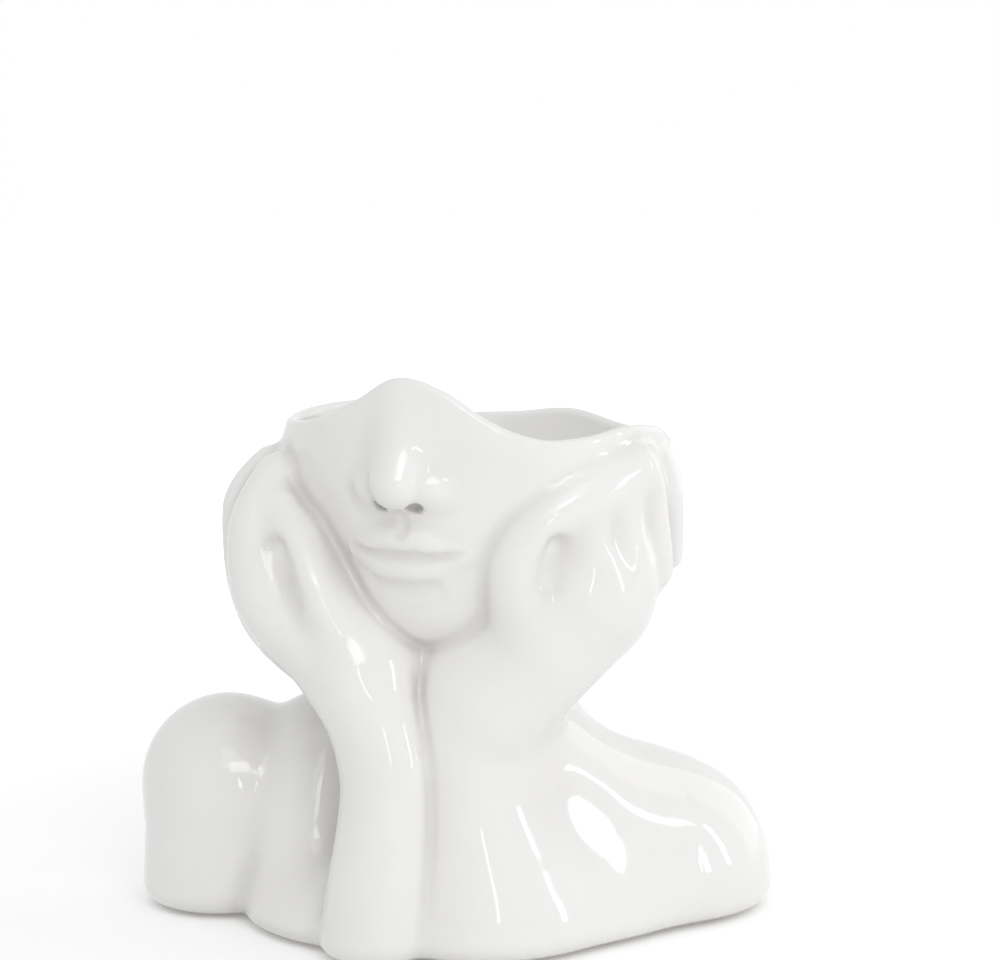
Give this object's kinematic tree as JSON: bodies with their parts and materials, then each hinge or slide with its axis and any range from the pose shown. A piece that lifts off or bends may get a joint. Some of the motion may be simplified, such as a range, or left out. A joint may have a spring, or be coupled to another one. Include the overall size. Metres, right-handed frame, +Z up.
{
  "type": "head planter",
  "caption": "Glazed ceramic planter shaped as a calm bust resting its chin on its hands, open at the brow, with drain plug, drain screen and foot pads.",
  "frame": {"origin": "middle of the bounding box's footprint, on the plane the foot pads stand on", "axes": "+X runs across the shoulders to the viewer's right, +Y runs from the figure's front to its back, +Z is up"},
  "size_m": [0.2268, 0.137, 0.201],
  "materials": {
    "glaze": "glossy white glaze",
    "plug_rubber": "matte",
    "screen_plastic": "matte",
    "pad_rubber": "matte"
  },
  "bodies": {
    "planter": {"planter_shell": "glaze", "foot_pad_front_left": "pad_rubber", "foot_pad_front_right": "pad_rubber", "foot_pad_back_left": "pad_rubber", "foot_pad_back_right": "pad_rubber"},
    "plug": {"drain_plug": "plug_rubber"},
    "screen": {"drain_screen": "screen_plastic"}
  },
  "joints": [
    {"name": "plug_pull", "type": "slide", "parent": "planter", "child": "plug", "axis": [0, 0, -1], "range_m": [0, 0.012]},
    {"name": "screen_lift", "type": "slide", "parent": "planter", "child": "screen", "axis": [0, 0, 1], "range_m": [0, 0.21]}
  ]
}
